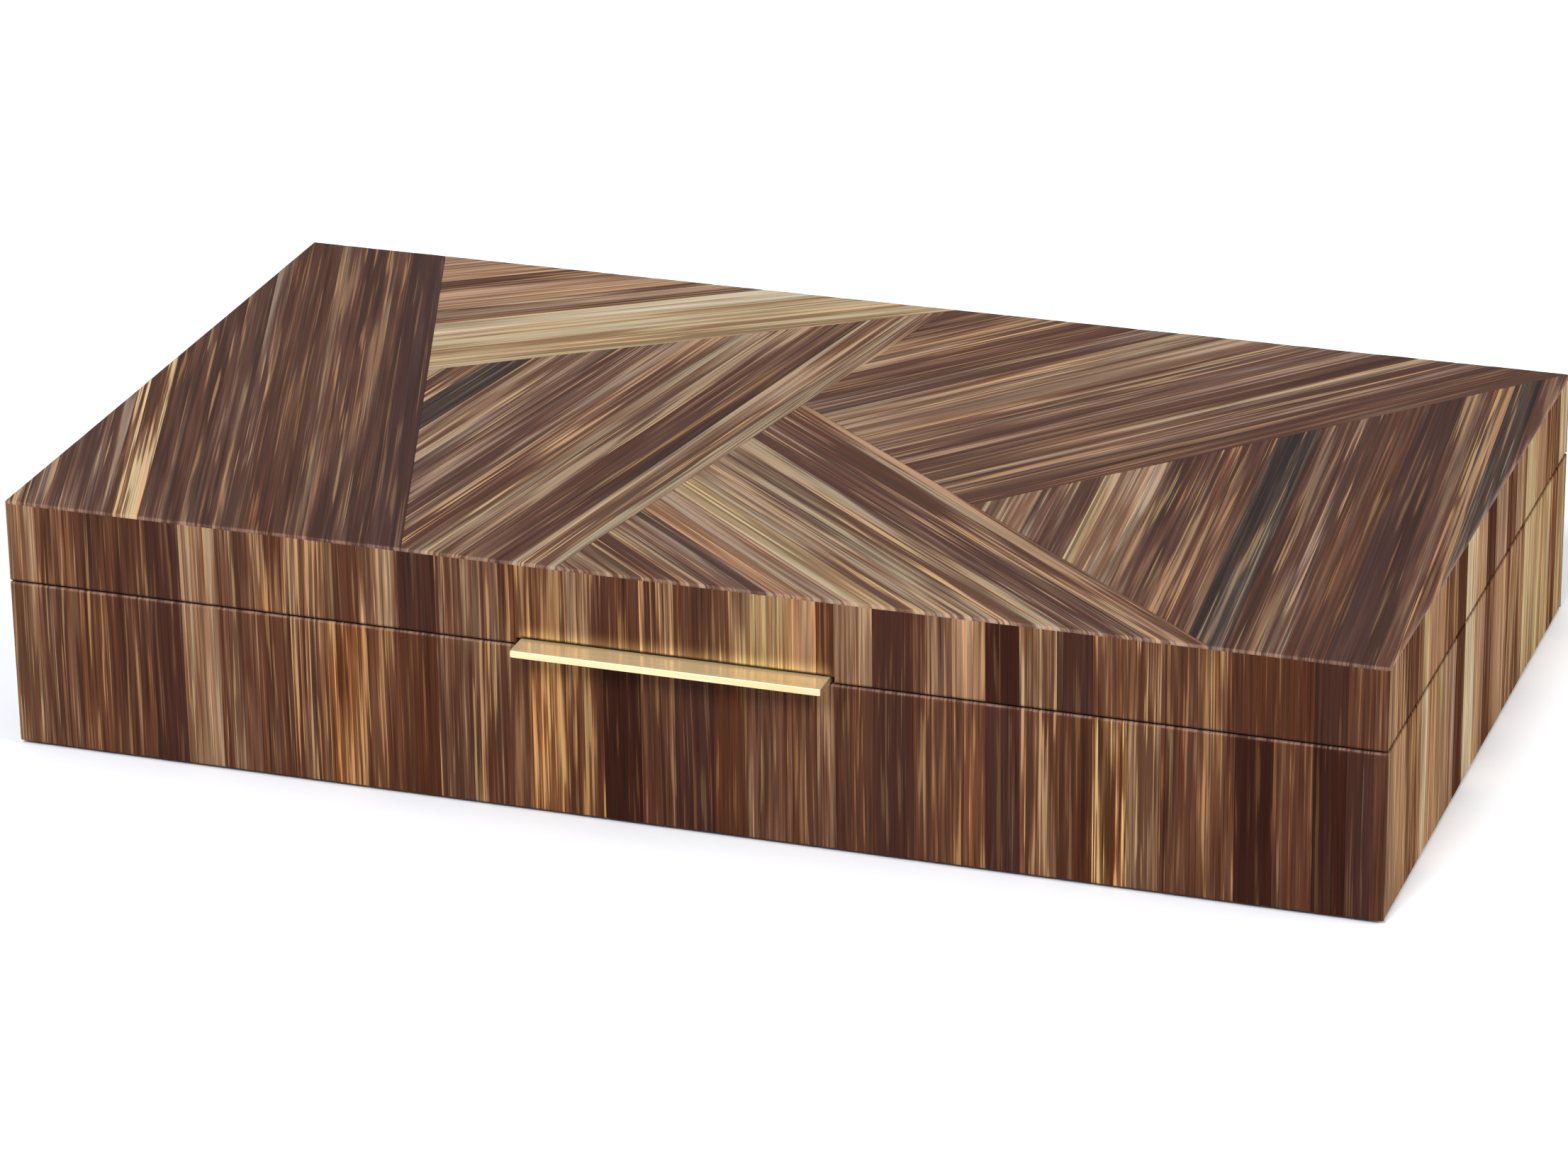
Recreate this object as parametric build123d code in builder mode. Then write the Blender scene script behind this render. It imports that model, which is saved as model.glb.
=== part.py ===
"""A hinged wooden box covered in strip marquetry, with a thin brass pull plate.

Frame: origin at the middle of the felt underside, +X to the right as seen from the front,
the front faces -Y, +Z up. Millimetres.
"""

from build123d import *

from itertools import accumulate
import math
import os

os.makedirs("parts", exist_ok=True)

# ---------------------------------------------------------------- driving dimensions
box_width = 400.0
box_depth = 225.0
box_height = 75.0
rim_height = 50.0          # top of the base walls
seam_gap = 0.5             # closed gap between base and lid

skin = 1.0                 # thickness of the marquetry strips
board = 9.0                # thickness of the wall boards
panel = 5.0                # thickness of the bottom and top panels
rebate = 4.5               # how far the panels are let into the wall boards
felt = 0.8                 # thickness of the felt underneath
felt_inset = 2.0           # felt edge to the outer face of the box

knife_cut = 0.06           # gap that the knife leaves between two strips
edge_round = 0.9           # rounding of the outer edges

lining = 1.4               # lining boards on the inside of the walls
lining_drop = 2.0          # rim down to the lining's top edge
floor_pad = 2.5            # padded floor of the base
lid_pad = 4.0              # padded ceiling of the lid
soft_gap = 0.2             # soft pieces to their neighbours

pull_length = 90.0
pull_reach = 8.6           # how far the plate stands out of the front
pull_tail = 7.0            # how far it runs under the lid's front wall
pull_thickness = 2.1
pull_lift = 0.08           # plate underside above the base rim
pull_slack = 1.2           # notch wider than the plate, at each end
pull_headroom = 0.25       # notch above the plate
pull_corner = 0.6          # rounding of its two front corners, in plan
pull_edge = 0.35           # rounding of its long front edges
pull_screw_spread = 28.0   # screws from the middle of the plate

hinge_spread = 130.0       # each hinge from the middle of the box
leaf_length = 42.0
leaf_width = 9.0           # from the back face forwards
leaf_thickness = 2.6
barrel_radius = 2.4
knuckle = 8.0              # length of each of the three knuckles
knuckle_gap = 0.1
pin_radius = 1.0
pin_clearance = 0.05
barrel_clearance = 0.2
axis_behind = 0.6          # hinge axis behind the back face
stop_angle = 95.5          # the leaves' shoulders meet here
leaf_fit = 0.05            # leaf to the sides of its mortise

screw_radius = 1.2
screw_head_radius = 2.2
screw_head_height = 1.3
screw_length = 9.0
screw_slot = 0.5
screw_fit = 0.05
hinge_screw_spread = 15.5  # hinge screws from the middle of the hinge
hinge_screw_inset = 6.0    # screw centre to the back face

# Widths of the marquetry strips, hand cut and so uneven. The long walls are listed from
# -X to +X, the short walls from -Y to +Y.
long_wall_strips = (
    9, 12, 9, 13, 10, 11, 12, 10, 11, 10, 12, 11, 11, 8, 9, 10, 11, 11, 10, 11,
    10, 13, 7, 5, 11, 11.5, 11, 9.5, 9.5, 10.5, 10, 10, 9, 10, 10.5, 10.5, 11, 9, 7, 4,
)
short_wall_strips = (
    11, 11, 9, 9, 7, 10, 9, 15, 11, 12, 13, 11, 15, 12, 13, 13, 14, 9, 9, 12,
)

# ---------------------------------------------------------------- derived places
half_width = box_width / 2
half_depth = box_depth / 2
lid_bottom = rim_height + seam_gap
lid_skin_bottom = box_height - skin
base_floor = felt + panel
lid_ceiling = lid_skin_bottom - panel
inner_inset = skin + board
panel_inset = inner_inset - rebate
axis_y = half_depth + axis_behind
axis_z = rim_height + seam_gap / 2
hinge_centres = (-hinge_spread, hinge_spread)
pull_bottom = rim_height + pull_lift
pull_top = pull_bottom + pull_thickness
sides = ("front", "right", "back", "left")


def save(piece, name):
    """Label a finished piece and write it as one STEP file."""
    piece.part.label = name
    export_step(piece.part, f"parts/{name}.step")


def slab(inset, bottom, top, mode=Mode.ADD):
    """A block over the plan of the box, set in from its outer faces."""
    with Locations((0, 0, bottom)):
        Box(
            box_width - 2 * inset,
            box_depth - 2 * inset,
            top - bottom,
            align=(Align.CENTER, Align.CENTER, Align.MIN),
            mode=mode,
        )


def ring_corners(inset):
    """Plan corners of the box, set in from its outer faces, anticlockwise from front left."""
    x = half_width - inset
    y = half_depth - inset
    return [(-x, -y), (x, -y), (x, y), (-x, y)]


def mitred_outline(side, outer_inset, inner_inset):
    """Plan of one wall piece of a mitred frame."""
    first = sides.index(side)
    second = (first + 1) % 4
    outer = ring_corners(outer_inset)
    inner = ring_corners(inner_inset)
    return [outer[first], outer[second], inner[second], inner[first]]


# ---------------------------------------------------------------- wall boards and panels
def hinge_mortises(bottom, top):
    """Cut the seats of the hinge leaves out of the part being built."""
    with Locations(*[(x, half_depth, bottom) for x in hinge_centres]):
        Box(
            leaf_length + 2 * leaf_fit,
            2 * (leaf_width + leaf_fit),
            top - bottom,
            align=(Align.CENTER, Align.CENTER, Align.MIN),
            mode=Mode.SUBTRACT,
        )


def hinge_screw_places():
    """Plan places of the hinge screws: two in each leaf."""
    return [
        (centre + offset, half_depth - hinge_screw_inset)
        for centre in hinge_centres
        for offset in (-hinge_screw_spread, hinge_screw_spread)
    ]


def pull_screw_places():
    """Plan places of the two screws that hold the pull plate."""
    y = -half_depth + skin + (pull_tail - skin) / 2
    return [(-pull_screw_spread, y), (pull_screw_spread, y)]


def pilot_holes(places, head_plane, into):
    """Cut screw holes into a board; into is +1 for screws driven upwards, -1 for down."""
    near = Align.MIN if into > 0 else Align.MAX
    with Locations(*[(x, y, head_plane) for x, y in places]):
        Cylinder(
            screw_radius + screw_fit,
            screw_length + screw_fit,
            align=(Align.CENTER, Align.CENTER, near),
            mode=Mode.SUBTRACT,
        )


def pull_notch():
    """Cut the seat of the pull plate out of the part being built."""
    with Locations((0, -half_depth, lid_bottom)):
        Box(
            pull_length + 2 * pull_slack,
            2 * (pull_tail + leaf_fit),
            pull_top + pull_headroom - lid_bottom,
            align=(Align.CENTER, Align.CENTER, Align.MIN),
            mode=Mode.SUBTRACT,
        )


def base_wall(side):
    """One mitred wall board of the base, rebated below for the bottom panel."""
    with BuildPart() as wall:
        with BuildSketch(Plane.XY.offset(felt)):
            with BuildLine():
                Polyline(*mitred_outline(side, skin, inner_inset), close=True)
            make_face()
        extrude(amount=rim_height - felt)
        slab(panel_inset, felt, base_floor, Mode.SUBTRACT)
        if side == "back":
            hinge_mortises(rim_height - leaf_thickness, rim_height)
            pilot_holes(hinge_screw_places(), rim_height, -1)
    return wall


def lid_wall(side):
    """One mitred wall board of the lid, rebated above for the top panel."""
    with BuildPart() as wall:
        with BuildSketch(Plane.XY.offset(lid_bottom)):
            with BuildLine():
                Polyline(*mitred_outline(side, skin, inner_inset), close=True)
            make_face()
        extrude(amount=lid_skin_bottom - lid_bottom)
        slab(panel_inset, lid_ceiling, lid_skin_bottom, Mode.SUBTRACT)
        if side == "back":
            hinge_mortises(lid_bottom, lid_bottom + leaf_thickness)
            pilot_holes(hinge_screw_places(), lid_bottom, 1)
        if side == "front":
            pull_notch()
            pilot_holes(pull_screw_places(), pull_bottom, 1)
    return wall


for side in sides:
    save(base_wall(side), f"base_{side}_panel")
    save(lid_wall(side), f"lid_{side}_panel")

with BuildPart() as base_bottom_panel:
    slab(panel_inset, felt, base_floor)
save(base_bottom_panel, "base_bottom_panel")

with BuildPart() as lid_top_panel:
    slab(panel_inset, lid_ceiling, lid_skin_bottom)
save(lid_top_panel, "lid_top_panel")

with BuildPart() as underside_felt:
    slab(felt_inset, 0, felt)
save(underside_felt, "underside_felt")


# ---------------------------------------------------------------- marquetry on the walls
def wall_marquetry(side, bottom, top):
    """The strips on one wall: a thin skin cut by a knife line at every strip edge.

    The front and back skins run the full width and cover the ends of the side skins.
    """
    long_side = side in ("front", "back")
    skin_length = box_width if long_side else box_depth - 2 * skin
    widths = long_wall_strips if long_side else short_wall_strips
    cut_places = [place - sum(widths) / 2 for place in accumulate(widths[:-1])]
    reach = half_depth if long_side else half_width
    outwards = -1 if side in ("front", "left") else 1
    middle = outwards * (reach - skin / 2)
    tall = top - bottom
    with BuildPart() as strips:
        if long_side:
            with Locations((0, middle, bottom)):
                Box(skin_length, skin, tall, align=(Align.CENTER, Align.CENTER, Align.MIN))
            corners = strips.edges().filter_by(Axis.Z).sort_by(Axis.Y)
            fillet(corners[:2] if side == "front" else corners[2:], edge_round)
            places = [(x, middle, bottom) for x in cut_places]
            knife = (knife_cut, 3 * skin)
        else:
            with Locations((middle, 0, bottom)):
                Box(skin, skin_length, tall, align=(Align.CENTER, Align.CENTER, Align.MIN))
            places = [(middle, y, bottom) for y in cut_places]
            knife = (3 * skin, knife_cut)
        with Locations(*places):
            Box(
                *knife,
                tall,
                align=(Align.CENTER, Align.CENTER, Align.MIN),
                mode=Mode.SUBTRACT,
            )
        if side == "back":
            hinge_mortises(rim_height - leaf_thickness, lid_bottom + leaf_thickness)
        if side == "front":
            pull_notch()
    return strips


for side in sides:
    save(wall_marquetry(side, felt, rim_height), f"base_{side}_marquetry")
    save(wall_marquetry(side, lid_bottom, lid_skin_bottom), f"lid_{side}_marquetry")


# ---------------------------------------------------------------- marquetry on the lid
def along(start, end, share):
    """The point a share of the way from start to end."""
    return (
        start[0] + share * (end[0] - start[0]),
        start[1] + share * (end[1] - start[1]),
    )


def crossing(a, b, c, d):
    """Where the line through a and b meets the line through c and d."""
    ab = (b[0] - a[0], b[1] - a[1])
    cd = (d[0] - c[0], d[1] - c[1])
    ac = (c[0] - a[0], c[1] - a[1])
    share = (ac[0] * cd[1] - ac[1] * cd[0]) / (ab[0] * cd[1] - ab[1] * cd[0])
    return along(a, b, share)


back_left = (-half_width, half_depth)
back_right = (half_width, half_depth)
front_left = (-half_width, -half_depth)
front_right = (half_width, -half_depth)

# The six fields of the lid meet along four straight joints that run across it.
left_joint_back = (-155.5, half_depth)
left_joint_front = (-79.5, -half_depth)
pale_joint_left = along(left_joint_back, left_joint_front, 0.42)
pale_joint_back = (13.0, half_depth)
centre_joint_front = (-34.0, -half_depth)
centre_joint_back = crossing(
    centre_joint_front, (9.0, half_depth), pale_joint_left, pale_joint_back
)
front_joint_top = along(centre_joint_front, centre_joint_back, 0.615)
front_joint_end = (151.0, -half_depth)
right_joint_foot = along(front_joint_top, front_joint_end, 0.44)


def heading(start, end):
    """Direction from start to end, in degrees from +X towards +Y."""
    return math.degrees(math.atan2(end[1] - start[1], end[0] - start[0]))


# Each field: its outline, the direction of its strips, a point that strip widths are laid
# out from, the first strip edge to the right of that point, and the strips' widths from
# there to the left, looking along the strips.
fields = {
    "left": (
        [front_left, left_joint_front, left_joint_back, back_left],
        heading(left_joint_front, left_joint_back),
        left_joint_front,
        0,
        (10, 13, 9.5, 14, 4.5, 13, 11, 9.5, 14, 10, 8),
    ),
    "pale": (
        [pale_joint_left, pale_joint_back, left_joint_back],
        33.5,
        pale_joint_left,
        0,
        (13, 10, 6, 9, 4, 5, 3, 8, 6, 9, 8, 8, 10),
    ),
    "centre": (
        [left_joint_front, centre_joint_front, centre_joint_back, pale_joint_left],
        80.5,
        centre_joint_front,
        -6,
        (6, 12.5, 12.5, 9, 9.5, 9, 11, 11.5, 12, 10.5, 10),
    ),
    "back": (
        [front_joint_top, right_joint_foot, back_right, pale_joint_back, centre_joint_back],
        49.0,
        right_joint_foot,
        -8,
        (8, 11, 7.5, 4, 5, 9, 11, 8, 5, 11, 11, 10, 14, 7, 10, 14),
    ),
    "front": (
        [centre_joint_front, front_joint_end, front_joint_top],
        heading(front_joint_end, front_joint_top),
        front_joint_end,
        0,
        (6, 7, 9, 4, 12, 10, 8.5, 8.5, 7, 7, 13, 12, 16),
    ),
    "right": (
        [front_joint_end, front_right, back_right, right_joint_foot],
        95.0,
        front_joint_end,
        -69,
        (8, 7, 5, 8, 10, 11, 6, 10, 11, 7, 8, 12, 12, 4, 7, 8, 10, 8),
    ),
}


def lid_field(outline, direction, start, first_edge, widths):
    """One field of the lid: its outline cut out of the lid's rounded skin, then into strips."""
    turn = math.radians(direction)
    leftwards = (-math.sin(turn), math.cos(turn))
    knife_places = [
        Location(
            (
                start[0] + (first_edge + reach) * leftwards[0],
                start[1] + (first_edge + reach) * leftwards[1],
                lid_skin_bottom,
            ),
            (0, 0, direction),
        )
        for reach in accumulate(widths[:-1])
    ]
    with BuildPart() as strips:
        slab(0, lid_skin_bottom, box_height)
        fillet(strips.edges().filter_by(Axis.Z), edge_round)
        fillet(strips.faces().sort_by(Axis.Z)[-1].edges(), edge_round)
        with BuildSketch(Plane.XY.offset(lid_skin_bottom)):
            with BuildLine():
                Polyline(*outline, close=True)
            make_face()
            offset(amount=-knife_cut / 2, kind=Kind.INTERSECTION)
        extrude(amount=skin, mode=Mode.INTERSECT)
        with Locations(*knife_places):
            Box(
                3 * box_width,
                knife_cut,
                skin,
                align=(Align.CENTER, Align.CENTER, Align.MIN),
                mode=Mode.SUBTRACT,
            )
    return strips


for name, field in fields.items():
    save(lid_field(*field), f"lid_top_{name}_marquetry")


# ---------------------------------------------------------------- linings
def wall_lining(side, bottom, top):
    """The fabric-covered lining board on the inside of one wall."""
    outer = inner_inset + soft_gap
    with BuildPart() as piece:
        with BuildSketch(Plane.XY.offset(bottom)):
            with BuildLine():
                Polyline(*mitred_outline(side, outer, outer + lining), close=True)
            make_face()
            offset(amount=-soft_gap / 2, kind=Kind.INTERSECTION)
        extrude(amount=top - bottom)
    return piece


for side in sides:
    save(
        wall_lining(side, base_floor + soft_gap, rim_height - lining_drop),
        f"base_{side}_lining",
    )
    save(
        wall_lining(side, lid_bottom + lining_drop, lid_ceiling - soft_gap),
        f"lid_{side}_lining",
    )

pad_inset = inner_inset + lining + 3 * soft_gap
with BuildPart() as base_floor_pad:
    slab(pad_inset, base_floor, base_floor + floor_pad)
save(base_floor_pad, "base_floor_pad")

with BuildPart() as lid_ceiling_pad:
    slab(pad_inset, lid_ceiling - lid_pad, lid_ceiling)
save(lid_ceiling_pad, "lid_ceiling_pad")


# ---------------------------------------------------------------- screws and their seats
def countersinks(places, head_plane, into):
    """Cut screw seats into a brass part; into is +1 for screws driven upwards."""
    radius = screw_radius + 2 * screw_fit
    head = screw_head_radius + screw_fit
    near = Align.MIN if into > 0 else Align.MAX
    align = (Align.CENTER, Align.CENTER, near)
    with Locations(*[(x, y, head_plane) for x, y in places]):
        Cylinder(radius, 2 * leaf_thickness, align=align, mode=Mode.SUBTRACT)
        Cone(
            bottom_radius=head if into > 0 else radius,
            top_radius=radius if into > 0 else head,
            height=screw_head_height + screw_fit,
            align=align,
            mode=Mode.SUBTRACT,
        )


def wood_screw(into):
    """A slotted countersunk wood screw with its head at z = 0; into is +1 for upwards."""
    near = Align.MIN if into > 0 else Align.MAX
    align = (Align.CENTER, Align.CENTER, near)
    tip = 2 * screw_radius
    with BuildPart() as screw:
        Cone(
            bottom_radius=screw_head_radius if into > 0 else screw_radius,
            top_radius=screw_radius if into > 0 else screw_head_radius,
            height=screw_head_height,
            align=align,
        )
        Cylinder(screw_radius, screw_length - tip, align=align)
        with Locations((0, 0, into * (screw_length - tip))):
            Cone(
                bottom_radius=screw_radius if into > 0 else screw_slot / 2,
                top_radius=screw_slot / 2 if into > 0 else screw_radius,
                height=tip,
                align=align,
            )
        Box(
            2 * screw_head_radius,
            screw_slot,
            screw_slot,
            align=align,
            mode=Mode.SUBTRACT,
        )
    return screw


# ---------------------------------------------------------------- hinges
def barrel(radius, start, length, mode):
    """A cylinder on the hinge axis, from start along +X."""
    with BuildSketch(Plane.YZ.offset(start)) as disc:
        with Locations((axis_y, axis_z)):
            Circle(radius)
    extrude(disc.sketch, amount=length, mode=mode)


def hinge_leaf(centre, upper):
    """One leaf of a stop hinge.

    The middle knuckle belongs to the lid's leaf and the outer two to the base's leaf. Beyond
    the knuckles both leaves run on behind the axis as a wedge. The two wedges meet when the
    lid is open, and stop it.
    """
    toward = 1 if upper else -1
    seat = lid_bottom if upper else rim_height
    far = seat + toward * leaf_thickness
    front = half_depth - leaf_width
    slope = math.tan(math.radians(stop_angle / 2))
    wedge_seat = axis_y + abs(seat - axis_z) / slope
    wedge_far = axis_y + abs(far - axis_z) / slope
    start = centre - leaf_length / 2
    zone = 3 * knuckle
    zone_start = centre - zone / 2
    owned = [1] if upper else [0, 2]
    others = [0, 2] if upper else [1]
    with BuildPart() as leaf:
        with BuildSketch(Plane.YZ.offset(start)):
            with BuildLine():
                Polyline(
                    (front, seat),
                    (wedge_seat, seat),
                    (wedge_far, far),
                    (front, far),
                    close=True,
                )
            make_face()
        extrude(amount=leaf_length)
        with Locations((centre, axis_y, axis_z)):
            Box(
                zone,
                2 * barrel_radius,
                4 * leaf_thickness,
                align=(Align.CENTER, Align.MIN, Align.CENTER),
                mode=Mode.SUBTRACT,
            )
        for i in others:
            barrel(
                barrel_radius + barrel_clearance,
                zone_start + i * knuckle - knuckle_gap,
                knuckle + 2 * knuckle_gap,
                Mode.SUBTRACT,
            )
        for i in owned:
            barrel(barrel_radius, zone_start + i * knuckle, knuckle, Mode.ADD)
        bore = pin_radius + pin_clearance if upper else pin_radius
        barrel(bore, zone_start, zone, Mode.SUBTRACT)
        own_places = [(x, y) for x, y in hinge_screw_places() if abs(x - centre) < leaf_length]
        countersinks(own_places, seat, toward)
    return leaf


for name, centre in zip(("left", "right"), hinge_centres):
    save(hinge_leaf(centre, upper=False), f"{name}_hinge_base_leaf")
    save(hinge_leaf(centre, upper=True), f"{name}_hinge_lid_leaf")
    with BuildPart() as hinge_pin:
        barrel(pin_radius, centre - 1.5 * knuckle, 3 * knuckle, Mode.ADD)
    save(hinge_pin, f"{name}_hinge_pin")

with BuildPart() as base_hinge_screws:
    with Locations(*[(x, y, rim_height) for x, y in hinge_screw_places()]):
        add(wood_screw(-1).part)
save(base_hinge_screws, "base_hinge_screws")

with BuildPart() as lid_hinge_screws:
    with Locations(*[(x, y, lid_bottom) for x, y in hinge_screw_places()]):
        add(wood_screw(1).part)
save(lid_hinge_screws, "lid_hinge_screws")


# ---------------------------------------------------------------- brass pull plate
with BuildPart() as pull_plate:
    with Locations((0, -half_depth - pull_reach, pull_bottom)):
        Box(
            pull_length,
            pull_reach + pull_tail,
            pull_thickness,
            align=(Align.CENTER, Align.MIN, Align.MIN),
        )
    fillet(pull_plate.edges().filter_by(Axis.Z).group_by(Axis.Y)[0], pull_corner)
    front_face = pull_plate.faces().sort_by(Axis.Y)[0]
    fillet(front_face.edges().filter_by(Axis.X), pull_edge)
    countersinks(pull_screw_places(), pull_bottom, 1)
save(pull_plate, "pull_plate")

with BuildPart() as pull_screws:
    with Locations(*[(x, y, pull_bottom) for x, y in pull_screw_places()]):
        add(wood_screw(1).part)
save(pull_screws, "pull_screws")
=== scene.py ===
"""Looks of the inlaid box: strip marquetry, stained boards, linings, felt and brass.

Metres, in the frame of the CAD model. The marquetry is rebuilt strip by strip from the CAD
nodes: every strip gets a crowned face, eased edges and its own tone and grain.
"""

from collections import namedtuple
import math
import random

import bmesh
import bpy
from mathutils import Matrix, Vector, noise


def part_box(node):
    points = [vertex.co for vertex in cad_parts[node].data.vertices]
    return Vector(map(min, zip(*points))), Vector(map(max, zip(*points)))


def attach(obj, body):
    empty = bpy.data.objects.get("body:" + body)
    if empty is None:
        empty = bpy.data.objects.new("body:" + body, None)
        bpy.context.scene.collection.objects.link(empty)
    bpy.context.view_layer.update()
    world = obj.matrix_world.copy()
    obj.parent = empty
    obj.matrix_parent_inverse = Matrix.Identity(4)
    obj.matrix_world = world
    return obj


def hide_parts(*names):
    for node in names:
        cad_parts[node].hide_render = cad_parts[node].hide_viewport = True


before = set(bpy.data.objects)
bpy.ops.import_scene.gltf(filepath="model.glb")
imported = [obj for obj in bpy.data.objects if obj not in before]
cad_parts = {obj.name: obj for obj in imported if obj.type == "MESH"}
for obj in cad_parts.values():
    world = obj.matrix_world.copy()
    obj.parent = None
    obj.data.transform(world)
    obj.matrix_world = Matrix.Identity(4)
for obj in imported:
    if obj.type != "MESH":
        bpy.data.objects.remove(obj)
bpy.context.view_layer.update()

MM = 0.001
SIDES = ("front", "right", "back", "left")
FIELDS = ("left", "pale", "centre", "back", "front", "right")


# ---------------------------------------------------------------- colours
def linear(code):
    """A colour such as "#8a5c3c" as linear red, green, blue, alpha."""
    channels = [int(code[i:i + 2], 16) / 255 for i in (1, 3, 5)]
    return [
        c / 12.92 if c <= 0.04045 else ((c + 0.055) / 1.055) ** 2.4 for c in channels
    ] + [1.0]


# Each tone of straw: its body, its dark fibres, its light fibres, and how streaky it is.
TONES = {
    "cocoa": ("#3e2219", "#331b14", "#5a3a2b", 0.24),
    "espresso": ("#4c3027", "#40251d", "#6a4838", 0.27),
    "mahogany": ("#583625", "#462619", "#7a5036", 0.36),
    "umber": ("#603e2e", "#492d20", "#8f6b4b", 0.50),
    "slate": ("#4a382d", "#342720", "#736151", 0.46),
    "chestnut": ("#6e4833", "#543223", "#ad8459", 0.74),
    "mauve": ("#72513e", "#58392b", "#a08063", 0.78),
    "walnut": ("#7e5941", "#5b3928", "#b6926a", 0.92),
    "copper": ("#815332", "#5c351f", "#c99a64", 0.95),
    "gold": ("#80583a", "#593823", "#e2bb80", 1.05),
    "olive": ("#8c6c50", "#684733", "#b89b74", 0.92),
    "tan": ("#98785c", "#7d5a41", "#b89a78", 0.80),
    "peach": ("#a8805e", "#8c6446", "#c09a74", 0.75),
    "straw": ("#b29469", "#92714d", "#ceb384", 0.82),
    "cream": ("#cab089", "#ab8e68", "#e2cfa8", 0.70),
}

BRIGHTNESS = 0.60          # of the strips' colours under the lights of this scene

# Tones of the strips, on a long wall from -X to +X, on a short wall from -Y to +Y, and on a
# field of the lid from the right of its strips to their left.
# Over the pull the lid's front strips take lighter tones than the base's below: partly their own
# tone, partly painted reflection of the brass pull.
FRONT_LID = """
    tan walnut umber umber espresso tan mauve walnut walnut umber
    olive espresso mauve mauve chestnut chestnut mauve umber walnut umber
    olive straw peach mahogany tan espresso mauve peach cocoa olive
    espresso chestnut walnut umber chestnut mahogany mahogany espresso umber walnut
""".split()
FRONT_BASE = """
    olive mauve chestnut umber espresso tan mauve umber walnut copper
    chestnut mahogany mauve walnut umber copper chestnut cocoa umber espresso
    mahogany mauve umber mauve umber espresso umber chestnut espresso walnut
    mahogany gold olive umber chestnut cocoa umber cocoa espresso umber
""".split()
RIGHT_LID = """
    tan walnut umber umber straw peach peach chestnut mahogany cream
    peach espresso tan umber olive straw peach chestnut umber cream
""".split()
RIGHT_BASE = """
    tan peach chestnut chestnut cream peach straw tan mahogany cream
    peach umber peach walnut walnut straw straw straw chestnut straw
""".split()
WALL_TONES = {
    "lid_front": FRONT_LID,
    "base_front": FRONT_BASE,
    "lid_right": RIGHT_LID,
    "base_right": RIGHT_BASE,
    "lid_back": FRONT_LID[::-1],
    "base_back": FRONT_BASE[::-1],
    "lid_left": RIGHT_LID[::-1],
    "base_left": RIGHT_BASE[::-1],
}
FIELD_TONES = {
    "left": "espresso umber umber mahogany mauve umber umber gold mauve mauve walnut",
    "pale": "straw straw straw cream umber tan walnut peach peach chestnut peach peach peach",
    "centre": "olive olive umber walnut olive walnut mauve mauve olive slate walnut",
    "back": "umber umber mauve mauve olive umber mauve mauve walnut tan"
            " olive mauve umber olive chestnut umber",
    "front": "walnut walnut mauve mauve olive olive olive straw tan peach mauve walnut olive",
    "right": "umber slate chestnut umber espresso mahogany mauve umber slate umber"
            " chestnut umber tan straw mauve mauve tan olive",
}


# ---------------------------------------------------------------- material building
class Graph:
    """A node material under construction. Its methods return sockets."""

    def __init__(self, name):
        self.material = bpy.data.materials.new(name)
        self.material.use_nodes = True
        self.tree = self.material.node_tree
        self.surface = self.tree.nodes["Principled BSDF"]

    def put(self, socket, value):
        if isinstance(value, bpy.types.NodeSocket):
            self.tree.links.new(value, socket)
        elif value is not None:
            socket.default_value = value

    def add(self, kind, values=(), **settings):
        made = self.tree.nodes.new(kind)
        for key, value in settings.items():
            setattr(made, key, value)
        for key, value in dict(values).items():
            self.put(made.inputs[key], value)
        return made

    def math(self, operation, a, b=None, c=None):
        made = self.add("ShaderNodeMath", operation=operation)
        for socket, value in zip(made.inputs, (a, b, c)):
            self.put(socket, value)
        return made.outputs[0]

    def vector(self, x, y, z):
        return self.add("ShaderNodeCombineXYZ", {"X": x, "Y": y, "Z": z}).outputs[0]

    def split(self, vector):
        return self.add("ShaderNodeSeparateXYZ", {"Vector": vector}).outputs

    def attribute(self, name, output="Vector"):
        made = self.add("ShaderNodeAttribute", attribute_name=name)
        return made.outputs[output]

    def position(self):
        return self.add("ShaderNodeTexCoord").outputs["Object"]

    def noise(self, vector, scale=1.0, detail=2.0, roughness=0.5):
        values = {"Vector": vector, "Scale": scale, "Detail": detail, "Roughness": roughness}
        return self.add("ShaderNodeTexNoise", values).outputs[0]

    def ramp(self, value, low, high, to_low=0.0, to_high=1.0):
        """value between low and high, smoothly mapped onto to_low and to_high."""
        values = {
            "Value": value, "From Min": low, "From Max": high, "To Min": to_low, "To Max": to_high,
        }
        made = self.add("ShaderNodeMapRange", values, interpolation_type="SMOOTHSTEP")
        return made.outputs[0]

    def blend(self, factor, a, b, kind="MIX"):
        made = self.add("ShaderNodeMix", data_type="RGBA", blend_type=kind)
        for socket, value in ((made.inputs[0], factor), (made.inputs[6], a), (made.inputs[7], b)):
            self.put(socket, value)
        return made.outputs[2]

    def mix(self, *parts):
        """Sum of weight x value pairs."""
        total = 0.0
        for weight, part in parts:
            total = self.math("MULTIPLY_ADD", part, weight, total)
        return total

    def grey(self, level):
        return self.vector(level, level, level)

    def bump(self, height, depth, strength=1.0):
        values = {"Height": height, "Distance": depth, "Strength": strength}
        return self.add("ShaderNodeBump", values).outputs[0]

    def finish(self, **values):
        names = {
            "color": "Base Color", "roughness": "Roughness", "metallic": "Metallic",
            "normal": "Normal", "specular": "Specular IOR Level", "coat": "Coat Weight",
            "coat_roughness": "Coat Roughness", "sheen": "Sheen Weight",
            "sheen_roughness": "Sheen Roughness", "sheen_tint": "Sheen Tint",
            "anisotropic": "Anisotropic", "tangent": "Tangent",
        }
        for key, value in values.items():
            self.put(self.surface.inputs[names[key]], value)
        return self.material


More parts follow.
